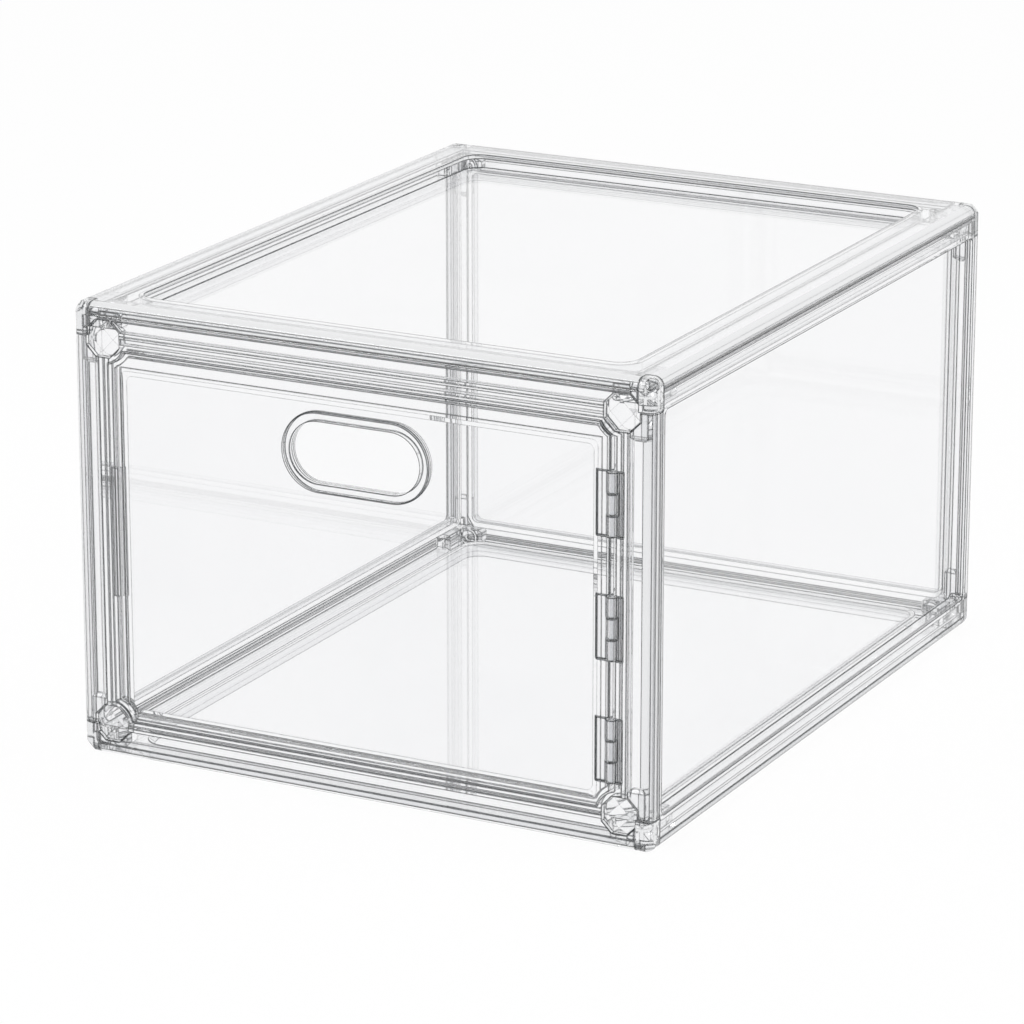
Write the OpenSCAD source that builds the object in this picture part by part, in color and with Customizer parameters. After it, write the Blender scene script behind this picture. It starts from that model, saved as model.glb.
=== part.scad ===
// Clear stacking storage box: five moulded trays and a front frame, held
// together by eight pegged corner connectors, with a front door on three hinges.
// The box stands on z = 0, its front looks along -Y and its width runs along X.

/* [Box] */
// Width of the box
box_w = 285; // [240:1:330]
// Depth of the box, front face to back face
box_d = 354; // [280:1:420]
// Height of the box
box_h = 210; // [200:1:260]
// Wall thickness of every moulded panel
wall = 2.2; // [1.9:0.1:2.4]
// Radius of the rounded outer edges
edge_r = 4.5; // [3:0.5:5]

/* [Panels] */
// Depth from a panel's outer face down to its recessed web
web_in = 6.7; // [5:0.1:8]
// Height of the skirt round the top and bottom panels
skirt = 5.2; // [4.6:0.1:6]
// Border of the top and bottom panels at the left and right
lid_border_x = 21.5; // [17:0.5:30]
// Border of the top and bottom panels at the front and back
lid_border_y = 19.5; // [17:0.5:30]
// Corner radius of the recess in the top and bottom panels
lid_recess_r = 9; // [4:0.5:14]
// Corner radius of the recess in the side and back panels
side_recess_r = 3; // [2:0.5:8]
// How far the front and back pieces wrap round onto the sides
wrap = 7.3; // [7:0.1:9]
// Gap at the seams between panels
seam = 0.2; // [0.1:0.05:0.4]

/* [Corner connectors] */
// Width of the visible corner cap
cap_w = 8; // [7:0.1:9]
// Height of the visible corner cap
cap_drop = 14.5; // [12:0.5:18]
// Thickness of the square pegs
peg_w = 8; // [7:0.1:9]
// Clearance round a peg, boss or leaf in its seat
fit = 0.25; // [0.15:0.05:0.35]
// End of the peg that runs along the width
peg_end_x = 22.5; // [18:0.5:34]
// End of the peg that runs along the depth
peg_end_y = 28; // [20:0.5:40]
// End of the peg that runs up the height
peg_end_z = 28; // [20:0.5:32]
// Distance of the faceted boss from both outer edges
boss_in = 15.5; // [15:0.1:16]
// Radius across the corners of the faceted boss
boss_r = 8.8; // [8:0.1:9]
// Width of the square table on the faceted boss
table_w = 7.6; // [5:0.1:9]
// Depth of the bevelled crown of the faceted boss
crown_h = 1.6; // [1:0.1:2]

/* [Front] */
// Width of the frame's posts at the left and right
post_w = 17.8; // [17:0.1:19]
// Height of the frame's upper rail
head_w = 20.1; // [18:0.1:24]
// Height of the frame's lower rail
sill_w = 18.0; // [17.5:0.1:22]
// Depth of the frame's opening wall
frame_depth = 7.3; // [6:0.1:7.3]
// Radius of the round pads at the corners of the opening
pad_r = 11; // [10.8:0.1:12]
// Gap between the door and the frame at the free edges
door_gap = 0.4; // [0.3:0.05:0.8]
// Gap between the door and the frame at the hinges
hinge_gap = 2.6; // [2.4:0.1:3]
// Depth of the door's rim
door_depth = 5; // [4:0.1:5.2]
// Thickness of the door's clear web
door_web = 2; // [1.5:0.1:2.4]
// Depth of the bevelled recess in the door's face
door_recess = 1.2; // [0.6:0.1:1.4]
// Width of the bevel round the door's recess
door_bevel = 2.4; // [1:0.1:3]
// Border of the door's face round its recess: free edge, hinge edge, top and bottom
door_border = [6.2, 6, 8.2, 3.6];

/* [Hand hole] */
// Width of the hand hole
hole_w = 64; // [50:1:90]
// Height of the hand hole
hole_h = 28; // [20:1:36]
// Width of the raised collar round the hand hole
collar_w = 4; // [3:0.5:6]
// Height of the hand hole's centre below the top of the box
hole_drop = 53; // [45:1:80]

/* [Hinges] */
// Height of each hinge
hinge_h = 28.5; // [24:0.5:32]
// Height of the lowest hinge's centre
hinge_low_z = 44.5; // [42:0.5:50]
// Distance between the hinges' centres
hinge_pitch = 54.8; // [48:0.1:55]
// Outer radius of the knuckles
knuckle_r = 2.35; // [2:0.05:2.5]
// Radius of the hinge pins
pin_r = 1; // [0.7:0.05:1.2]
// Clearance round the hinge pins
pin_play = 0.05; // [0.02:0.01:0.08]
// Thickness of the hinge leaves
leaf_t = 1.4; // [1:0.1:1.5]

/* [Hidden] */
$fn = 48;

clear_tint = [0.86, 0.93, 0.96, 0.4];
steel_tint = [0.72, 0.74, 0.76];

web_back = web_in + wall;
tongue_t = 1.75;
tongue_in = wall + seam;
peg_in = tongue_in + tongue_t + fit;
peg_out = peg_in + peg_w;
rail_edge = skirt + seam;
rib_in = peg_out + fit;
recess_in = rib_in + wall;
jog_t = 1.9;
lip_len = 3;
post_peg_y = wall + fit;
post_peg_end = wrap + seam - fit;
boss_depth = wrap - 0.1;
boss_face = 0.2;
stop_w = 2.2;
stop_h = 60;
stop_t = 1.7;
axis_in = post_w + hinge_gap * 0.69;
hinge_clear = knuckle_r + 0.3;
leaf_frame_in = post_w - 3.2;
leaf_door_in = post_w + hinge_gap + 6.6;
knuckle_gap = 0.2;
knuckle_h = (hinge_h - 2 * knuckle_gap) / 3;
door_rim = 2.2;
door_x0 = post_w + door_gap;
door_x1 = box_w - post_w - hinge_gap;
door_z0 = sill_w + door_gap;
door_z1 = box_h - head_w - door_gap;
web_x0 = door_x0 + door_border[0];
web_x1 = door_x1 - door_border[1];
web_z0 = door_z0 + door_border[3];
web_z1 = door_z1 - door_border[2];
web_r = 3;
far = 1;

// Moves the box from its corner at the origin to its place over the origin.
module in_place()
    translate([-box_w / 2, -box_d / 2 + knuckle_r / 2, 0]) children();

// Turns a panel drawn flat, with depth along Z, to face the left, the front or up.
module face_left() rotate([90, 0, 90]) children();
module face_front() mirror([0, 1, 0]) rotate([90, 0, 0]) children();

module opposite_x() translate([box_w, 0, 0]) mirror([1, 0, 0]) children();
module opposite_y() translate([0, box_d, 0]) mirror([0, 1, 0]) children();
module opposite_z() translate([0, 0, box_h]) mirror([0, 0, 1]) children();

// Places a connector at one corner: c counts 0 or 1 for right, back and top.
module at_corner(c)
    translate([c[0] * box_w, c[1] * box_d, c[2] * box_h])
        mirror([c[0], 0, 0]) mirror([0, c[1], 0]) mirror([0, 0, c[2]]) children();

module rect(x0, y0, x1, y1) translate([x0, y0]) square([x1 - x0, y1 - y0]);

module round_rect(x0, y0, x1, y1, r) {
    rect(x0 + r, y0, x1 - r, y1);
    rect(x0, y0 + r, x1, y1 - r);
    for (x = [x0 + r, x1 - r], y = [y0 + r, y1 - r])
        translate([x, y]) circle(r);
}

module obround(w, h) {
    square([w - h, h], center = true);
    for (s = [-1, 1]) translate([s * (w - h) / 2, 0]) circle(h / 2);
}

// The outer form that every outside piece is trimmed to.
module rounded_block()
    intersection() {
        linear_extrude(box_h) round_rect(0, 0, box_w, box_d, edge_r);
        face_front() linear_extrude(box_d) round_rect(0, 0, box_w, box_h, edge_r);
        face_left() linear_extrude(box_w) round_rect(0, 0, box_d, box_h, edge_r);
    }

module corner_caps_clear()
    for (i = [0, 1], j = [0, 1], k = [0, 1])
        at_corner([i, j, k])
            translate([-far, -far, -far])
                cube([cap_w + fit + far, cap_w + fit + far, cap_drop + fit + far]);

// Trims a raw panel to the rounded outer form and clears the corner caps.
module finish_panel()
    difference() {
        intersection() {
            children();
            rounded_block();
        }
        corner_caps_clear();
    }

// Moulded tray: a border skin, a recess wall and a set-back web of one thickness.
module tray(x0, y0, x1, y1, bx, by, r) {
    linear_extrude(wall) difference() {
        rect(x0, y0, x1, y1);
        round_rect(bx, by, x1 + x0 - bx, y1 + y0 - by, r);
    }
    linear_extrude(web_back) difference() {
        round_rect(bx - wall, by - wall, x1 + x0 - bx + wall, y1 + y0 - by + wall, r + wall);
        round_rect(bx, by, x1 + x0 - bx, y1 + y0 - by, r);
    }
    translate([0, 0, web_in]) linear_extrude(wall)
        round_rect(bx - wall, by - wall, x1 + x0 - bx + wall, y1 + y0 - by + wall, r + wall);
}

// Top and bottom panel, drawn as the bottom one: tray with a skirt all round.
module lid() {
    tray(0, 0, box_w, box_d, lid_border_x, lid_border_y, lid_recess_r);
    linear_extrude(skirt) difference() {
        rect(0, 0, box_w, box_d);
        rect(wall, wall, box_w - wall, box_d - wall);
    }
}

// Hooked edge that tucks behind the lid's skirt, along x from a to b at y = 0.
module hook(a, b)
    translate([a, 0, 0]) rotate([90, 0, 90]) linear_extrude(b - a)
        polygon([
            [rail_edge, 0], [rail_edge + jog_t, 0], [rail_edge + jog_t, tongue_in + tongue_t],
            [tongue_in + tongue_t, tongue_in + tongue_t], [tongue_in + tongue_t, peg_out],
            [tongue_in, peg_out], [tongue_in, tongue_in], [rail_edge, tongue_in]
        ]);

// Hooks along both long edges of an upright panel.
module hooks(a, b) {
    hook(a, b);
    translate([0, box_h, 0]) mirror([0, 1, 0]) hook(a, b);
}

module side() {
    a = wrap + seam;
    b = box_d - a;
    tray(a, rail_edge, b, box_h - rail_edge, a + wall, recess_in, side_recess_r);
    hooks(a, b);
    for (y = [a - lip_len, b - wall])
        translate([y, rail_edge, tongue_in])
            cube([lip_len + wall, box_h - 2 * rail_edge, tongue_t]);
}

module side_skirts(depth)
    for (x = [0, box_w - wall])
        translate([x, rail_edge, 0]) cube([wall, box_h - 2 * rail_edge, depth]);

module back() {
    tray(0, rail_edge, box_w, box_h - rail_edge, recess_in, recess_in, side_recess_r);
    hooks(rib_in, box_w - rib_in);
    side_skirts(wrap);
}

// Faceted boss and its seat share this octagon, seen from the front.
module boss_outline(r) rotate(22.5) circle(r, $fn = 8);

module at_bosses()
    for (x = [boss_in, box_w - boss_in], z = [boss_in, box_h - boss_in])
        translate([x, z]) children();

// The frame's opening: a rectangle with a round pad standing in each corner.
module opening(grow)
    difference() {
        rect(post_w - grow, sill_w - grow, box_w - post_w + grow, box_h - head_w + grow);
        at_bosses() circle(pad_r - grow);
    }

module frame() {
    linear_extrude(wall) difference() {
        rect(0, rail_edge, box_w, box_h - rail_edge);
        opening(0);
    }
    linear_extrude(frame_depth) difference() {
        opening(wall);
        opening(0);
    }
    linear_extrude(frame_depth) difference() {
        rect(rib_in, rib_in, box_w - rib_in, box_h - rib_in);
        rect(recess_in, recess_in, box_w - recess_in, box_h - recess_in);
    }
    hooks(rib_in, box_w - rib_in);
    side_skirts(wrap);
    translate([post_w - wall, (box_h - stop_h) / 2, door_depth + seam])
        cube([wall + stop_w, stop_h, stop_t]);
}

module door_outline(shrink)
    difference() {
        rect(door_x0 + shrink, door_z0 + shrink, door_x1 - shrink, door_z1 - shrink);
        at_bosses() circle(pad_r + door_gap + shrink);
    }

module door_face_recess()
    hull() {
        translate([0, 0, -0.02]) linear_extrude(0.02)
            round_rect(web_x0, web_z0, web_x1, web_z1, web_r, $fn = 32);
        translate([0, 0, door_recess - 0.02]) linear_extrude(0.02)
            round_rect(web_x0 + door_bevel, web_z0 + door_bevel,
                web_x1 - door_bevel, web_z1 - door_bevel, web_r, $fn = 32);
    }

module door_panel() {
    web_back_w = door_recess + door_web;
    hole_x = (web_x0 + web_x1) / 2;
    difference() {
        union() {
            difference() {
                linear_extrude(door_depth) door_outline(0);
                translate([0, 0, web_back_w]) linear_extrude(door_depth) door_outline(door_rim);
                translate([0, 0, wall]) linear_extrude(door_depth) difference() {
                    door_outline(door_rim);
                    rect(web_x0 - far, web_z0 - far, web_x1 + far, web_z1 + far);
                }
                door_face_recess();
            }
            translate([hole_x, box_h - hole_drop, 0])
                linear_extrude(door_depth) obround(hole_w + 2 * collar_w, hole_h + 2 * collar_w);
        }
        translate([hole_x, box_h - hole_drop, -far])
            linear_extrude(door_depth + 2 * far) obround(hole_w, hole_h);
    }
}

module at_hinge(i) translate([box_w - axis_in, 0, hinge_low_z + i * hinge_pitch]) children();

// Room for the knuckles and one leaf, reaching in x from a to b off the hinge axis.
module hinge_seat(a, b, knuckle_side) {
    tall = hinge_h + 2 * fit;
    translate([a, -far, -tall / 2]) cube([b - a, leaf_t + fit + far, tall]);
    translate([knuckle_side > 0 ? 0 : -hinge_clear - 0.35, -far, -tall / 2])
        cube([hinge_clear + (knuckle_side > 0 ? 0 : 0.35), hinge_clear + far, tall]);
}

module knuckle(i)
    translate([0, 0, -hinge_h / 2 + i * (knuckle_h + knuckle_gap)]) cylinder(r = knuckle_r, h = knuckle_h);

module pin_bore()
    translate([0, 0, -hinge_h]) cylinder(r = pin_r + pin_play, h = 2 * hinge_h);

// A leaf reaches from the knuckles to x = reach, and clears the other leaf's knuckles.
module leaf(reach, own) {
    other = [for (i = [0:2]) if (len(search(i, own)) == 0) i];
    difference() {
        union() {
            for (i = own) knuckle(i);
            translate([min(0, reach), 0, -hinge_h / 2]) cube([abs(reach), leaf_t, hinge_h]);
        }
        for (i = other)
            translate([-hinge_clear, -hinge_clear, -hinge_h / 2 + i * (knuckle_h + knuckle_gap) - knuckle_gap])
                cube([2 * hinge_clear, 2 * hinge_clear, knuckle_h + 2 * knuckle_gap]);
        pin_bore();
    }
}

module front_frame() color(clear_tint) in_place()
    difference() {
        finish_panel() face_front() frame();
        face_front() translate([0, 0, -far]) linear_extrude(boss_depth + 2 * far)
            at_bosses() boss_outline(boss_r + fit);
        for (i = [0:2]) at_hinge(i)
            hinge_seat(0, axis_in - leaf_frame_in + fit, 1);
    }

module door() color(clear_tint) in_place()
    difference() {
        face_front() door_panel();
        for (i = [0:2]) at_hinge(i)
            hinge_seat(axis_in - leaf_door_in - fit, 0, -1);
    }

module top_panel() color(clear_tint) in_place() opposite_z() finish_panel() lid();
module bottom_panel() color(clear_tint) in_place() finish_panel() lid();
module left_panel() color(clear_tint) in_place() finish_panel() face_left() side();
module right_panel() color(clear_tint) in_place() opposite_x() finish_panel() face_left() side();
module back_panel() color(clear_tint) in_place() opposite_y() finish_panel() face_front() back();

// Square bar along x from 0 to len with a chamfered tip.
module bar(len, w, h) {
    c = 1.6;
    intersection() {
        linear_extrude(h) polygon([[0, 0], [len - c, 0], [len, c], [len, w - c], [len - c, w], [0, w]]);
        translate([0, w, 0]) rotate([90, 0, 0]) linear_extrude(w)
            polygon([[0, 0], [len - c, 0], [len, c], [len, h - c], [len - c, h], [0, h]]);
    }
}

// Takes one bevelled facet off the crown, from d off the axis at the table to the girdle.
module facet_cut(d, girdle)
    translate([d, 0, boss_face]) rotate([0, -atan(crown_h / (girdle - d)), 0])
        translate([-boss_r, -boss_r, -boss_r]) cube([3 * boss_r, 2 * boss_r, boss_r]);

// Faceted boss that shows in the corner pad of the frame: eight facets round a square table.
module boss() {
    girdle = boss_r * cos(22.5);
    translate([boss_in, 0, boss_in]) mirror([0, 1, 0]) rotate([90, 0, 0])
        difference() {
            translate([0, 0, boss_face]) linear_extrude(boss_depth - boss_face) boss_outline(boss_r);
            for (a = [0:90:270]) {
                rotate(a + 45) facet_cut(table_w / 2, girdle);
                rotate(a) facet_cut(table_w * sqrt(0.5), girdle);
            }
        }
}

// Ring boss on the inner face of a back connector's width peg.
module ring_boss()
    translate([(cap_w + peg_end_x) / 2 + 1, peg_out, (peg_in + peg_out) / 2]) rotate([-90, 0, 0])
        difference() {
            cylinder(r = peg_w / 2, h = 2);
            translate([0, 0, -far]) cylinder(r = peg_w / 5, h = 2 + 2 * far);
        }

// One connector at the corner x = y = z = 0: cap, core, three pegs and a boss.
module connector(front) {
    intersection() {
        cube([cap_w, cap_w, cap_drop]);
        rounded_block();
        translate([14, 14, 14]) sphere(r = 20);
    }
    translate([peg_in, peg_in, peg_in]) {
        cube(peg_w);
        bar(peg_end_x - peg_in, peg_w, peg_w);
        translate([peg_w, 0, 0]) rotate([0, 0, 90]) bar(peg_end_y - peg_in, peg_w, peg_w);
    }
    translate([peg_in, post_peg_end, peg_in]) rotate([0, -90, 90]) mirror([0, 1, 0])
        bar(peg_end_z - peg_in, peg_w, post_peg_end - post_peg_y);
    if (front) boss();
    else ring_boss();
}

module corner(c) color(clear_tint) in_place() at_corner(c) connector(c[1] == 0);

module corner_front_left_bottom() corner([0, 0, 0]);
module corner_front_right_bottom() corner([1, 0, 0]);
module corner_back_left_bottom() corner([0, 1, 0]);
module corner_back_right_bottom() corner([1, 1, 0]);
module corner_front_left_top() corner([0, 0, 1]);
module corner_front_right_top() corner([1, 0, 1]);
module corner_back_left_top() corner([0, 1, 1]);
module corner_back_right_top() corner([1, 1, 1]);

module hinge_frame_leaf(i) color(clear_tint) in_place() at_hinge(i)
    leaf(axis_in - leaf_frame_in, [0, 2]);
module hinge_door_leaf(i) color(clear_tint) in_place() at_hinge(i)
    leaf(axis_in - leaf_door_in, [1]);
module hinge_pin(i) color(steel_tint) in_place() at_hinge(i)
    translate([0, 0, -hinge_h / 2]) cylinder(r = pin_r, h = hinge_h);

top_panel();
bottom_panel();
left_panel();
right_panel();
back_panel();
front_frame();
door();
corner_front_left_bottom();
corner_front_right_bottom();
corner_back_left_bottom();
corner_back_right_bottom();
corner_front_left_top();
corner_front_right_top();
corner_back_left_top();
corner_back_right_top();
hinge_frame_leaf(0);  // hinge_frame_leaf_bottom
hinge_frame_leaf(1);  // hinge_frame_leaf_middle
hinge_frame_leaf(2);  // hinge_frame_leaf_top
hinge_door_leaf(0);  // hinge_door_leaf_bottom
hinge_door_leaf(1);  // hinge_door_leaf_middle
hinge_door_leaf(2);  // hinge_door_leaf_top
hinge_pin(0);  // hinge_pin_bottom
hinge_pin(1);  // hinge_pin_middle
hinge_pin(2);  // hinge_pin_top
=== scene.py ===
"""Clear stacking storage box with a hinged front door: finishes, stage and camera."""

import bmesh
import bpy
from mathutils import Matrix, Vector

bl_info = {
    "name": "Clear Storage Box",
    "version": (1, 0, 0),
    "blender": (4, 5, 0),
    "location": "View3D > Sidebar > Storage Box",
    "description": "Finishes the packed clear storage box and sets its stage",
    "category": "Object",
}

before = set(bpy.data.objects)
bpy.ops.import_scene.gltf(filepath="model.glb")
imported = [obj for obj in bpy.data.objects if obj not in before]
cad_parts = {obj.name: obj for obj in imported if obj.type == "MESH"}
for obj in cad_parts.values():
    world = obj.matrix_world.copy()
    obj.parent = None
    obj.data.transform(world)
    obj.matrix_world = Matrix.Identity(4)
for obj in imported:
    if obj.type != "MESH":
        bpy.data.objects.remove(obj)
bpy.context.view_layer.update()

PANELS = ("top_panel", "bottom_panel", "left_panel", "right_panel", "back_panel", "front_frame")

# Turn between the rounded and the flat normal at which the painted edge shade starts, and at which it is
# full
PAINTED_SHADE_START, PAINTED_SHADE_FULL = 0.004, 0.03
# Samples of the painted edge shade's mask, and of the small edge rounding
PAINTED_SHADE_SAMPLES, ROUNDING_SAMPLES = 8, 4
# Flow noise at which a flow mark starts, and at which it is full
FLOW_START, FLOW_FULL = 0.45, 0.75
WAVE_STRENGTH = 0.5
# Share of the lamps' light that passes a clear wall
SHADOW_PASS = 0.9

STEEL_DARK, STEEL_BRIGHT = (0.52, 0.53, 0.55), (0.8, 0.81, 0.83)
STEEL_ROUGHNESS, STREAK_ROUGHNESS = 0.18, 0.16
STREAK_SIZE, STREAK_STRETCH, STREAK_DEPTH, STREAK_STRENGTH = 0.0004, 0.02, 0.00002, 0.3

PAPER_DARK, PAPER_BRIGHT, PAPER_GRAIN = (0.86, 0.86, 0.86), (0.9, 0.9, 0.9), 0.002
# Share of the paper that is seen as plain backdrop. The rest takes the lamps and the soft shadow
PAPER_GLOW = 0.93
FLOOR_HALF, FLOOR_DROP = 12.0, 0.0002
# Height of the view's direction at which the ceiling starts, and at which it is full
CEILING_START, CEILING_FULL, CEILING_SHADE = 0.55, 0.9, 0.12

LAMP_TARGET = (0, 0, 0.1)
# Name, place, width and height, and power in watts
LAMPS = (
    ("key", (-1.2, -1.6, 2.2), (1.4, 1.4), 30),
    ("fill", (1.9, 0.9, 1.5), (1.2, 1.2), 14),
)
FAR_CLIP = 50


class Sock:
    """A shader socket that can be written in plain sums."""

    def __init__(self, tree, socket):
        self.tree = tree
        self.socket = socket

    def maths(self, operation, *values):
        return self.tree.node("ShaderNodeMath", {"operation": operation}, dict(enumerate(values)))

    def __add__(self, other):
        return self.maths("ADD", self, other)

    def __radd__(self, other):
        return self.maths("ADD", other, self)

    def __sub__(self, other):
        return self.maths("SUBTRACT", self, other)

    def __rsub__(self, other):
        return self.maths("SUBTRACT", other, self)

    def __mul__(self, other):
        return self.maths("MULTIPLY", self, other)

    def __rmul__(self, other):
        return self.maths("MULTIPLY", other, self)

    def above(self, other):
        return self.maths("GREATER_THAN", self, other)

    def at_least(self, other):
        return self.maths("MAXIMUM", self, other)

    def ramp(self, low, high):
        """0 below low, 1 above high, smooth between."""
        return self.tree.node(
            "ShaderNodeMapRange",
            {"interpolation_type": "SMOOTHSTEP"},
            {"Value": self, "From Min": low, "From Max": high},
            "Result",
        )


class Tree:
    """A node tree that adds its nodes by type, settings and socket values."""

    def __init__(self, owner):
        owner.use_nodes = True
        self.nodes = owner.node_tree.nodes
        self.links = owner.node_tree.links
        self.nodes.clear()

    def node(self, kind, settings=None, sockets=None, output=0):
        made = self.nodes.new(kind)
        for name, value in (settings or {}).items():
            setattr(made, name, value)
        for name, value in (sockets or {}).items():
            if isinstance(value, Sock):
                self.links.new(value.socket, made.inputs[name])
            else:
                made.inputs[name].default_value = value
        return Sock(self, made.outputs[output]) if made.outputs else made


class ClearPlasticSettings(bpy.types.PropertyGroup):
    """Finish of the moulded clear plastic."""

    tint: bpy.props.FloatVectorProperty(
        name="Tint", description="Colour that the clear plastic passes", subtype="COLOR",
        size=3, min=0, max=1, default=(0.963, 0.964, 0.969))
    flow_tint: bpy.props.FloatVectorProperty(
        name="Flow tint", description="Colour of the faint flow marks", subtype="COLOR",
        size=3, min=0, max=1, default=(0.95, 0.952, 0.958))
    # Painted shade: dark lines painted into the plastic's colour along moulded edges, where the real
    # plastic turns the light away
    painted_edge_shade: bpy.props.FloatVectorProperty(
        name="Edge tint", description="Colour of the dark lines along moulded edges", subtype="COLOR",
        size=3, min=0, max=1, default=(0.004, 0.005, 0.006))
    # Half width of the painted edge shade
    painted_edge_shade_width: bpy.props.FloatProperty(
        name="Edge line", description="Half width of the dark lines along moulded edges",
        default=0.0010, unit="LENGTH")
    # Painted glow: colour that the plastic gives out as emission in place of light caught between the
    # walls
    glow: bpy.props.FloatVectorProperty(
        name="Glow", description="Colour of light that is caught between the walls", subtype="COLOR",
        size=3, min=0, max=1, default=(0.84, 0.845, 0.85))
    # Bounces and inner reflections after which the painted glow takes the place of the caught light
    bounces: bpy.props.FloatProperty(
        name="Bounces", description="Bounces after which caught light comes out as glow",
        default=7.5, min=1)
    mirrorings: bpy.props.FloatProperty(
        name="Mirrorings", description="Inner reflections after which caught light comes out as glow",
        default=3.5, min=1)
    ior: bpy.props.FloatProperty(
        name="Refractive index", description="Refractive index of the plastic", default=1.46, min=1, max=2)
    waviness: bpy.props.FloatProperty(
        name="Waviness", description="Height of the moulded surface's slow waves",
        default=0.00002, unit="LENGTH")
    edge_round: bpy.props.FloatProperty(
        name="Edge rounding", description="Radius of the small rounding on moulded edges",
        default=0.0004, unit="LENGTH")


class StageSettings(bpy.types.PropertyGroup):
    """Camera, light and background."""

    camera_at: bpy.props.FloatVectorProperty(
        name="Camera", description="Place of the camera", subtype="TRANSLATION", unit="LENGTH",
        size=3, default=(0.98846, -1.92794, 0.75556))
    target: bpy.props.FloatVectorProperty(
        name="Target", description="Point that the camera looks at", subtype="TRANSLATION",
        unit="LENGTH", size=3, default=(0.01738, -0.06413, 0.1050))
    lens: bpy.props.FloatProperty(
        name="Lens", description="Focal length in millimetres", default=171.8, min=20)
    backdrop: bpy.props.FloatVectorProperty(
        name="Backdrop", description="Colour of floor and background", subtype="COLOR",
        size=3, min=0, max=1, default=(1.0, 1.0, 1.0))
    room_light: bpy.props.FloatProperty(
        name="Room light", description="Brightness of the light from all round", default=0.75, min=0)


def new_material(name):
    material = bpy.data.materials.new(name)
    return material, Tree(material)


def object_place(tree):
    return tree.node("ShaderNodeTexCoord", output="Object")


def noise(tree, place, size, detail=2.0, squash=None):
    """Smooth noise whose grain is about size metres, from 0 to 1."""
    if squash:
        place = tree.node("ShaderNodeMapping", None, {"Vector": place, "Scale": squash})
    return tree.node(
        "ShaderNodeTexNoise", {"noise_dimensions": "3D"},
        {"Vector": place, "Scale": 1 / size, "Detail": detail, "Roughness": 0.5})


def colour_mix(tree, amount, low, high):
    """A mix of two colours, each given as three numbers or as a socket."""
    low, high = (c if isinstance(c, Sock) else (*c, 1) for c in (low, high))
    return tree.node(
        "ShaderNodeMix", {"data_type": "RGBA"}, {"Factor": amount, 6: low, 7: high}, 2)


def painted_edge_shade_mask(tree, settings):
    """Mask of the painted edge shade: 1 along a moulded edge, where clear plastic turns the light away,
    and 0 on a plain face.
    """
    soft = tree.node("ShaderNodeBevel", {"samples": PAINTED_SHADE_SAMPLES}, {"Radius": settings.painted_edge_shade_width})
    flat = tree.node("ShaderNodeNewGeometry", output="Normal")
    agree = tree.node(
        "ShaderNodeVectorMath", {"operation": "DOT_PRODUCT"}, {0: soft, 1: flat}, "Value")
    return (1 - agree).ramp(PAINTED_SHADE_START, PAINTED_SHADE_FULL)


def pass_light(tree, surface, settings):
    """Lets part of the lamps' light straight through, so that clear walls cast a soft shadow.

    Light that has bounced between the moulded walls many times is replaced by a painted pale glow, an
    emission of the plastic.
    """
    shadow_ray = tree.node("ShaderNodeLightPath", output="Is Shadow Ray")
    clear = tree.node("ShaderNodeBsdfTransparent", None, {
        "Color": (SHADOW_PASS, SHADOW_PASS, SHADOW_PASS, 1)})
    mixed = tree.node("ShaderNodeMixShader", None, {"Fac": shadow_ray, 1: surface, 2: clear})
    bounces = tree.node("ShaderNodeLightPath", output="Ray Depth")
    mirrored = tree.node("ShaderNodeLightPath", output="Glossy Depth")
    painted_glow_at = bounces.above(settings.bounces).at_least(mirrored.above(settings.mirrorings))
    # Painted glow: the plastic's emission in place of caught light
    glow = tree.node("ShaderNodeEmission", None, {"Color": (*settings.glow, 1), "Strength": 1.0})
    tree.node("ShaderNodeOutputMaterial", None, {"Surface": tree.node(
        "ShaderNodeMixShader", None, {"Fac": painted_glow_at, 1: mixed, 2: glow})})


def clear_plastic(name, settings, flow_size, wave_size, rough):
    """Moulded clear plastic: slow flow marks, faint waves, softly rounded edges, and painted shade as dark
    lines along the edges.

    flow_size and wave_size are the grain of the flow marks and of the waves in metres.
    """
    material, tree = new_material(name)
    place = object_place(tree)
    flow = noise(tree, place, flow_size, 3.0)
    waves = noise(tree, place, wave_size, 1.0)
    rounded = tree.node(
        "ShaderNodeBevel", {"samples": ROUNDING_SAMPLES}, {"Radius": settings.edge_round})
    painted_shade_amount = painted_edge_shade_mask(tree, settings)
    normal = tree.node(
        "ShaderNodeBump", None,
        {
            "Strength": WAVE_STRENGTH, "Distance": settings.waviness,
            "Height": waves, "Normal": rounded,
        })
    surface = tree.node(
        "ShaderNodeBsdfPrincipled", None,
        {
            # Base colour with painted shade: dark lines along the moulded edges, over the flow marks
            "Base Color": colour_mix(
                tree, painted_shade_amount,
                colour_mix(
                    tree, flow.ramp(FLOW_START, FLOW_FULL), settings.tint, settings.flow_tint),
                settings.painted_edge_shade),
            "Roughness": rough * (0.5 + flow),
            "Transmission Weight": 1.0,
            "IOR": settings.ior,
            "Normal": normal,
        })
    pass_light(tree, surface, settings)
    return material


def drawn_steel(name):
    """Drawn steel rod: fine lengthwise streaks with a bright face."""
    material, tree = new_material(name)
    streaks = noise(tree, object_place(tree), STREAK_SIZE, 2.0, squash=(1, 1, STREAK_STRETCH))
    tree.node("ShaderNodeOutputMaterial", None, {"Surface": tree.node(
        "ShaderNodeBsdfPrincipled", None,
        {
            "Base Color": colour_mix(tree, streaks, STEEL_DARK, STEEL_BRIGHT),
            "Metallic": 1.0,
            "Roughness": STEEL_ROUGHNESS + STREAK_ROUGHNESS * streaks,
            "Normal": tree.node("ShaderNodeBump", None, {
                "Strength": STREAK_STRENGTH, "Distance": STREAK_DEPTH, "Height": streaks}),
        })})
    return material


def finish_nodes(names, material):
    for name in names:
        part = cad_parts[name]
        part.data.materials.clear()
        part.data.materials.append(material)


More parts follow.
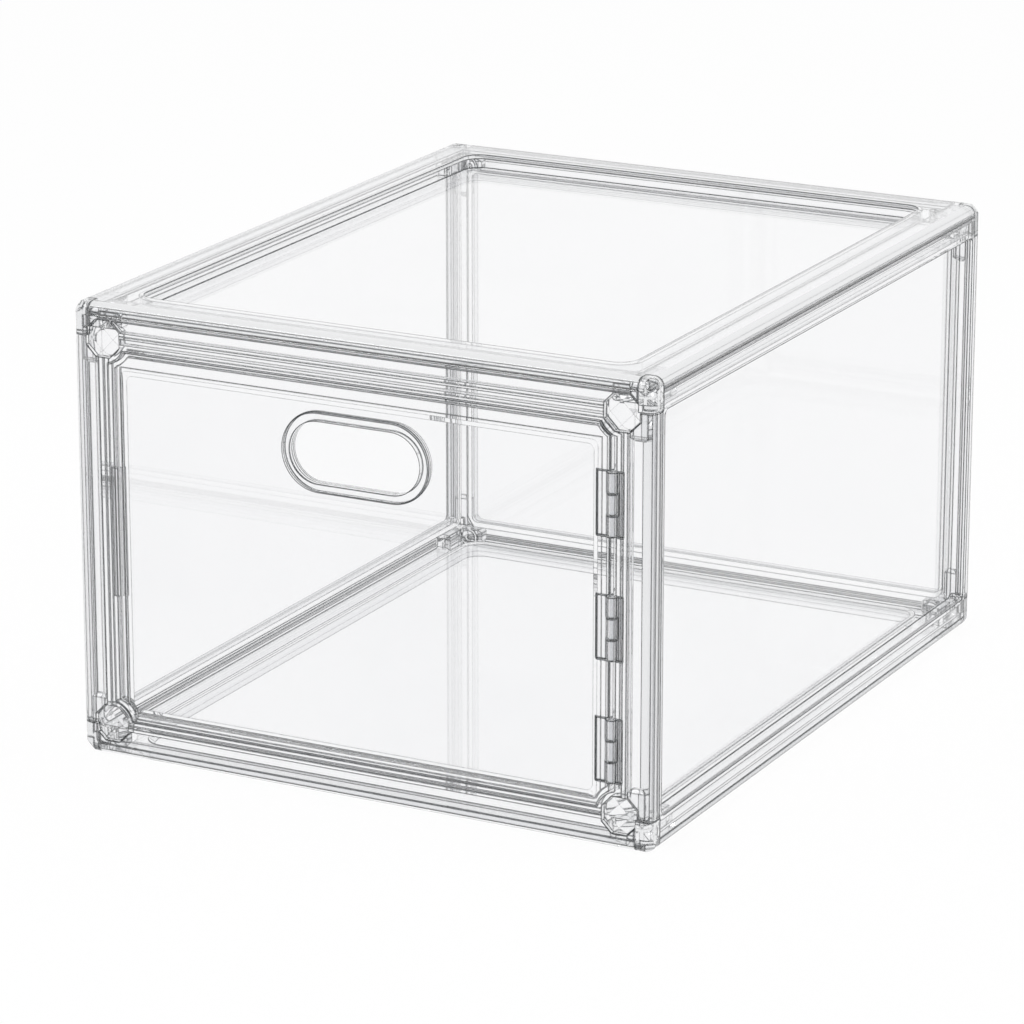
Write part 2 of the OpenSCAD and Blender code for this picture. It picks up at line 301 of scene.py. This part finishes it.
def names_starting(word):
    return sorted(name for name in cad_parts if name.startswith(word))


class BOX_OT_panels(bpy.types.Operator):
    """Give the trays, the front frame and the door their clear moulded finish"""
    bl_idname = "storage_box.panels"
    bl_label = "Panels and door"

    def execute(self, context):
        settings = context.scene.clear_plastic
        finish_nodes(PANELS, clear_plastic("panel_clear", settings, 0.09, 0.12, 0.012))
        finish_nodes(["door"], clear_plastic("door_clear", settings, 0.07, 0.1, 0.01))
        return {"FINISHED"}


class BOX_OT_corners(bpy.types.Operator):
    """Give the corner connectors their clear faceted finish"""
    bl_idname = "storage_box.corners"
    bl_label = "Corner connectors"

    def execute(self, context):
        finish = clear_plastic("corner_clear", context.scene.clear_plastic, 0.012, 0.01, 0.008)
        finish_nodes(names_starting("corner_"), finish)
        return {"FINISHED"}


class BOX_OT_hinges(bpy.types.Operator):
    """Give the hinge leaves and pins their finishes"""
    bl_idname = "storage_box.hinges"
    bl_label = "Hinges"

    def execute(self, context):
        leaves = names_starting("hinge_frame_leaf") + names_starting("hinge_door_leaf")
        finish = clear_plastic("hinge_clear", context.scene.clear_plastic, 0.01, 0.008, 0.01)
        finish_nodes(leaves, finish)
        finish_nodes(names_starting("hinge_pin"), drawn_steel("pin_steel"))
        return {"FINISHED"}


def stage_material(settings):
    """Floor that keeps the object's soft shadow, and is the backdrop's colour in every view."""
    material, tree = new_material("stage_paper")
    direct = tree.node("ShaderNodeLightPath", output="Is Camera Ray")
    glossy = tree.node("ShaderNodeLightPath", output="Is Glossy Ray")
    through = tree.node("ShaderNodeLightPath", output="Is Transmission Ray")
    fibre = noise(tree, object_place(tree), PAPER_GRAIN)
    paper = tree.node("ShaderNodeBsdfDiffuse", None, {
        "Color": colour_mix(tree, fibre, PAPER_DARK, PAPER_BRIGHT)})
    glow = tree.node("ShaderNodeEmission", None, {"Color": (*settings.backdrop, 1), "Strength": 1.0})
    seen = direct.at_least(glossy).at_least(through) * PAPER_GLOW
    tree.node("ShaderNodeOutputMaterial", None, {"Surface": tree.node(
        "ShaderNodeMixShader", None, {"Fac": seen, 1: paper, 2: glow})})
    return material


def build_room(settings):
    """Bright room with a slightly darker ceiling, which shades the upper edges."""
    world = bpy.data.worlds.new("studio")
    bpy.context.scene.world = world
    tree = Tree(world)
    height = tree.node("ShaderNodeSeparateXYZ", None, {
        "Vector": tree.node("ShaderNodeTexCoord", output="Generated")}, "Z")
    camera_ray = tree.node("ShaderNodeLightPath", output="Is Camera Ray")
    glossy = tree.node("ShaderNodeLightPath", output="Is Glossy Ray")
    through = tree.node("ShaderNodeLightPath", output="Is Transmission Ray")
    seen = 1 - height.ramp(CEILING_START, CEILING_FULL) * CEILING_SHADE
    level = camera_ray + (1 - camera_ray) * (
        glossy.at_least(through) * seen + (1 - glossy.at_least(through)) * settings.room_light)
    tree.node("ShaderNodeOutputWorld", None, {"Surface": tree.node(
        "ShaderNodeBackground", None, {"Color": (*settings.backdrop, 1), "Strength": level})})


def turn_towards(place, target):
    """Turn that points a lamp or camera at place towards target."""
    return (Vector(target) - Vector(place)).to_track_quat("-Z", "Y").to_euler()


def area_lamp(name, place, size, power):
    data = bpy.data.lights.new(name, "AREA")
    data.shape = "RECTANGLE"
    data.size, data.size_y = size
    data.energy = power
    lamp = bpy.data.objects.new(name, data)
    bpy.context.scene.collection.objects.link(lamp)
    lamp.location = place
    lamp.rotation_euler = turn_towards(place, LAMP_TARGET)
    lamp.visible_camera = False


class BOX_OT_stage(bpy.types.Operator):
    """Set the camera, the lamps, the floor and the bright room"""
    bl_idname = "storage_box.stage"
    bl_label = "Stage"

    def execute(self, context):
        settings = context.scene.stage_settings
        camera_data = bpy.data.cameras.new("camera")
        camera_data.lens = settings.lens
        camera_data.clip_end = FAR_CLIP
        camera = bpy.data.objects.new("camera", camera_data)
        context.scene.collection.objects.link(camera)
        camera.location = settings.camera_at
        camera.rotation_euler = turn_towards(settings.camera_at, settings.target)
        context.scene.camera = camera

        mesh = bpy.data.meshes.new("floor")
        grid = bmesh.new()
        bmesh.ops.create_grid(grid, x_segments=1, y_segments=1, size=FLOOR_HALF)
        grid.to_mesh(mesh)
        grid.free()
        floor = bpy.data.objects.new("floor", mesh)
        context.scene.collection.objects.link(floor)
        floor.location.z = -FLOOR_DROP
        mesh.materials.append(stage_material(settings))

        build_room(settings)
        for lamp in LAMPS:
            area_lamp(*lamp)
        context.scene.view_settings.view_transform = "Standard"
        return {"FINISHED"}


class BOX_PT_panel(bpy.types.Panel):
    """Lists the box's parts and its stage"""
    bl_idname = "BOX_PT_panel"
    bl_label = "Storage Box"
    bl_space_type = "VIEW_3D"
    bl_region_type = "UI"
    bl_category = "Storage Box"

    def draw(self, context):
        column = self.layout.column()
        for operator in OPERATORS:
            column.operator(operator.bl_idname)
        for group in (context.scene.clear_plastic, context.scene.stage_settings):
            for name in group.bl_rna.properties.keys():
                if name not in ("rna_type", "name"):
                    column.prop(group, name)


OPERATORS = (BOX_OT_panels, BOX_OT_corners, BOX_OT_hinges, BOX_OT_stage)
CLASSES = (ClearPlasticSettings, StageSettings, *OPERATORS, BOX_PT_panel)


def register():
    for made in CLASSES:
        bpy.utils.register_class(made)
    bpy.types.Scene.clear_plastic = bpy.props.PointerProperty(type=ClearPlasticSettings)
    bpy.types.Scene.stage_settings = bpy.props.PointerProperty(type=StageSettings)


def unregister():
    del bpy.types.Scene.stage_settings
    del bpy.types.Scene.clear_plastic
    for made in reversed(CLASSES):
        bpy.utils.unregister_class(made)


def main():
    register()
    bpy.ops.storage_box.panels()
    bpy.ops.storage_box.corners()
    bpy.ops.storage_box.hinges()
    bpy.ops.storage_box.stage()


if __name__ == "__main__":
    main()
